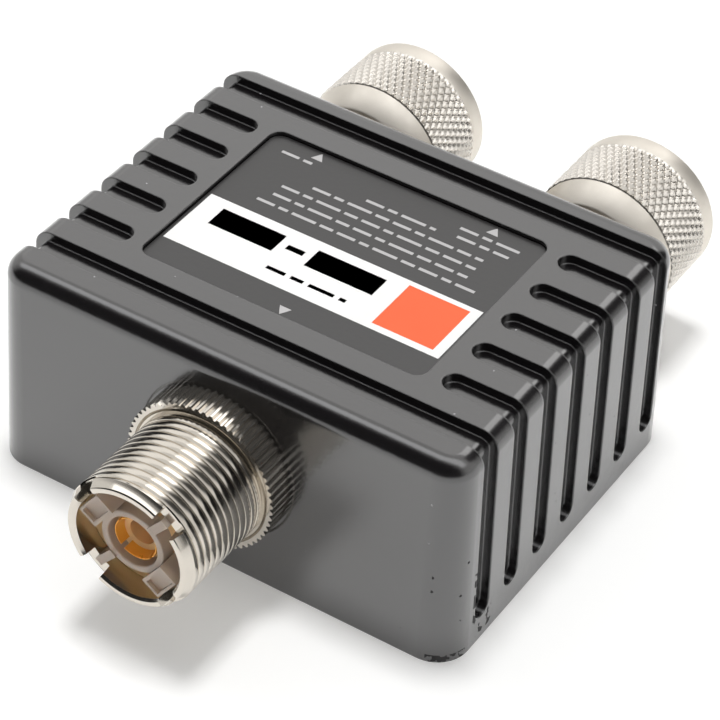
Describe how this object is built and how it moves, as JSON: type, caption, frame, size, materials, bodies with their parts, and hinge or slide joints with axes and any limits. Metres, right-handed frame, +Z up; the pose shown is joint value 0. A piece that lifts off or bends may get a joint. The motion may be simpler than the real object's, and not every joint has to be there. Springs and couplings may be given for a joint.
{
  "type": "rf duplexer",
  "caption": "Ribbed die-cast radio frequency duplexer with a threaded socket at the front and free-turning coupling nuts on the plugs at the back.",
  "frame": {"origin": "centre of the housing's flat underside", "axes": "+Z up from the underside, +Y towards the two plugs, -Y towards the single socket, X across"},
  "size_m": [0.0598, 0.0821, 0.0273],
  "materials": {
    "paint": "satin black enamel on a zinc die-casting",
    "plate": "thin printed aluminium plate, matt dark grey",
    "steel": "zinc-plated steel",
    "nickel": "bright nickel plate on turned brass",
    "gilt": "gold plate on brass",
    "spring_wire": "hard-drawn spring wire",
    "clear_resin": "translucent smoky moulding",
    "white_resin": "milky white low-loss plastic",
    "board": "green glass-fibre laminate",
    "shield": "tinned sheet steel",
    "copper": "enamelled copper wire",
    "ceramic": "dipped ceramic disc"
  },
  "bodies": {
    "body": {"housing": "paint", "label_plate": "plate", "bottom_cover": "paint", "cover_screws": "steel", "front_socket_body": "nickel", "front_ring_nut": "nickel", "front_insulator": "clear_resin", "front_contact": "gilt", "left_plug_body": "nickel", "left_plug_insulator": "white_resin", "left_centre_pin": "gilt", "right_plug_body": "nickel", "right_plug_insulator": "white_resin", "right_centre_pin": "gilt", "plug_lock_nuts": "nickel", "filter_board": "board", "board_screws": "steel", "shield_partition": "shield", "low_pass_coils": "copper", "low_pass_capacitors": "ceramic", "high_pass_coils": "copper", "high_pass_capacitors": "ceramic"},
    "left_ring": {"left_snap_ring": "spring_wire"},
    "left_nut": {"left_coupling_nut": "nickel"},
    "right_ring": {"right_snap_ring": "spring_wire"},
    "right_nut": {"right_coupling_nut": "nickel"}
  },
  "joints": [
    {"name": "left_nut_float", "type": "slide", "parent": "body", "child": "left_ring", "axis": [0, 1, 0], "range_m": [-0.0004, 0.0004]},
    {"name": "left_nut_turn", "type": "hinge", "parent": "left_ring", "child": "left_nut", "pos_m": [-0.0156, 0.0359, 0.0144], "axis": [0, 1, 0], "continuous": true},
    {"name": "right_nut_float", "type": "slide", "parent": "body", "child": "right_ring", "axis": [0, 1, 0], "range_m": [-0.0004, 0.0004]},
    {"name": "right_nut_turn", "type": "hinge", "parent": "right_ring", "child": "right_nut", "pos_m": [0.0156, 0.0359, 0.0144], "axis": [0, 1, 0], "continuous": true}
  ]
}
